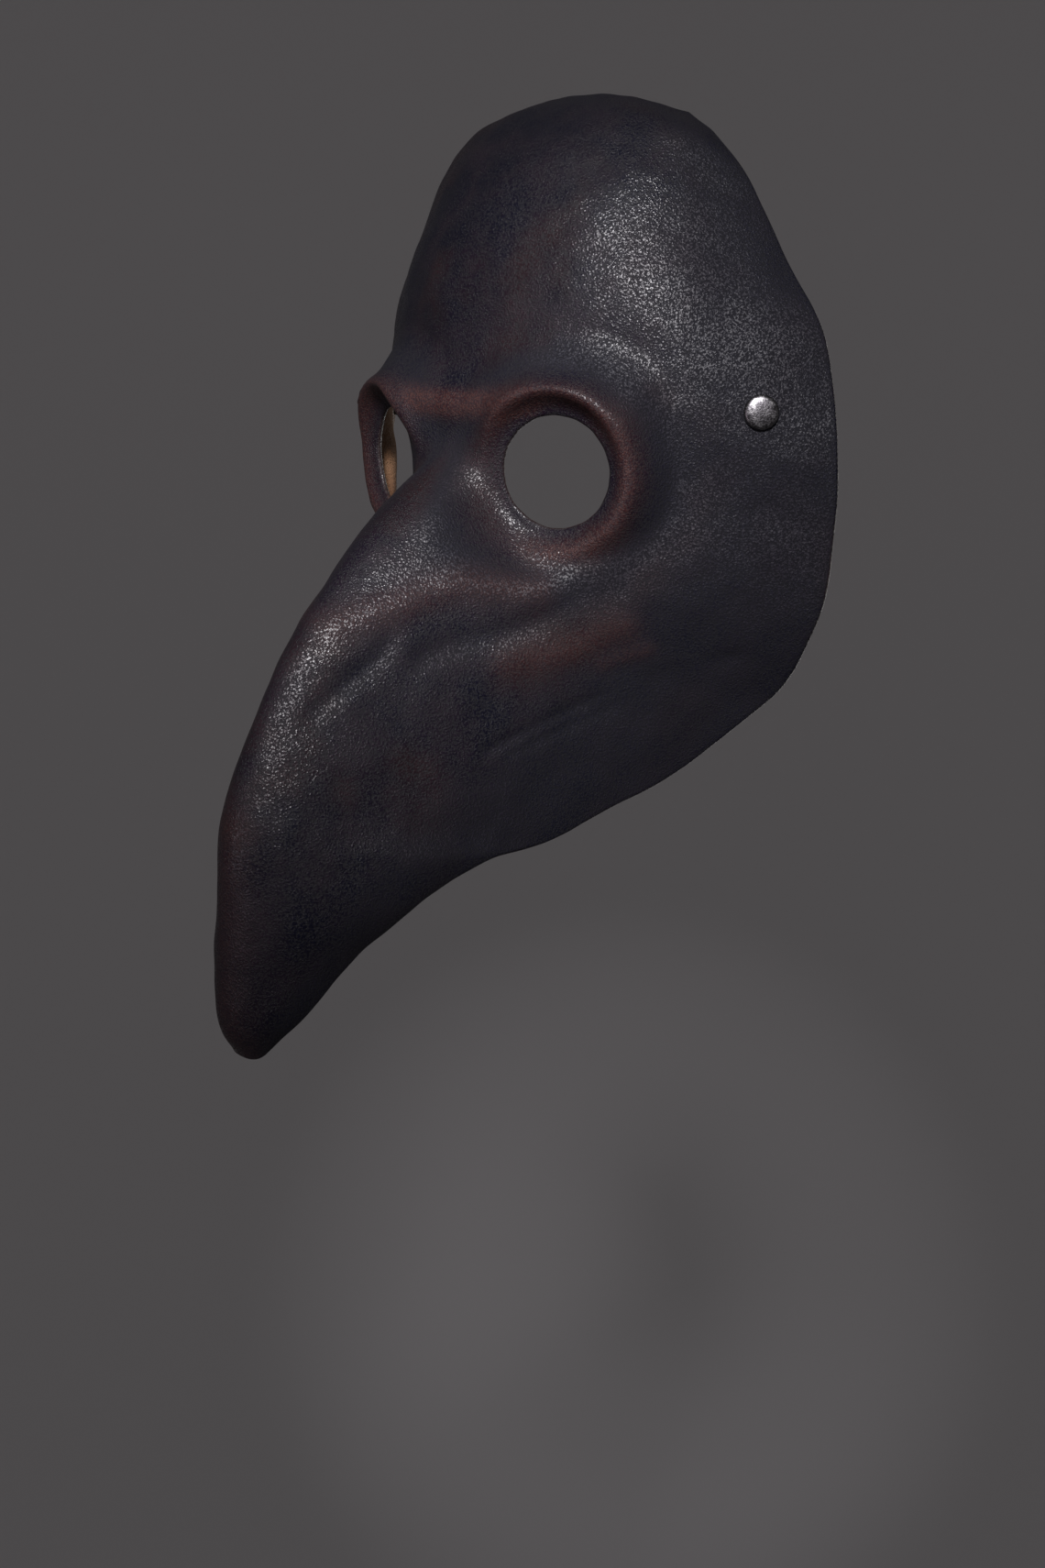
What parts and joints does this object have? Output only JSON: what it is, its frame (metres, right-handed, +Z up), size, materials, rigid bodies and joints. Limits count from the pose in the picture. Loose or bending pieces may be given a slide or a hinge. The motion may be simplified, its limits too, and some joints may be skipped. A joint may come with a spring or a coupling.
{
  "type": "plague doctor mask",
  "caption": "Long-beaked moulded leather half mask with round eye holes and a riveted, buckled head strap that swings on side tabs.",
  "frame": {"origin": "on the bridge of the nose, midway between the two eye centres, where the mask sits on the wearer's face", "axes": "+Z up, the mask faces -Y, +Y points back to the wearer's head, the wearer's left is +X"},
  "size_m": [0.205, 0.1729, 0.286],
  "materials": {
    "mask_leather": "black-brown wet-moulded leather, pebbled grain, rubbed red-brown on the raised edges, raw tan inside",
    "strap_leather": "dark brown strap leather with burnished edges",
    "rivet_metal": "dark nickel plated, polished dome",
    "buckle_metal": "dark nickel plated, worn satin"
  },
  "bodies": {
    "root": {"face_shell": "mask_leather", "temple_rivet_left": "rivet_metal", "temple_rivet_right": "rivet_metal", "temple_rivet_back_left": "rivet_metal", "temple_rivet_back_right": "rivet_metal", "side_tab_left": "strap_leather", "side_tab_right": "strap_leather", "pivot_rivet_left": "rivet_metal", "pivot_rivet_right": "rivet_metal", "pivot_rivet_back_left": "rivet_metal", "pivot_rivet_back_right": "rivet_metal"},
    "head_strap": {"buckle_strap": "strap_leather", "billet_strap": "strap_leather", "buckle_frame": "buckle_metal", "buckle_prong": "buckle_metal", "fold_rivet": "rivet_metal", "fold_rivet_back": "rivet_metal", "strap_keeper": "strap_leather"},
    "roller": {"buckle_roller": "buckle_metal"}
  },
  "joints": [
    {"name": "strap_swing", "type": "hinge", "parent": "root", "child": "head_strap", "pos_m": [0, 0.06114, 0.01783], "axis": [1, 0, 0], "range_deg": [-12, 100]},
    {"name": "roller_spin", "type": "hinge", "parent": "head_strap", "child": "roller", "pos_m": [0.07201, 0.06114, -0.04703], "axis": [0, 1, 0], "continuous": true}
  ]
}
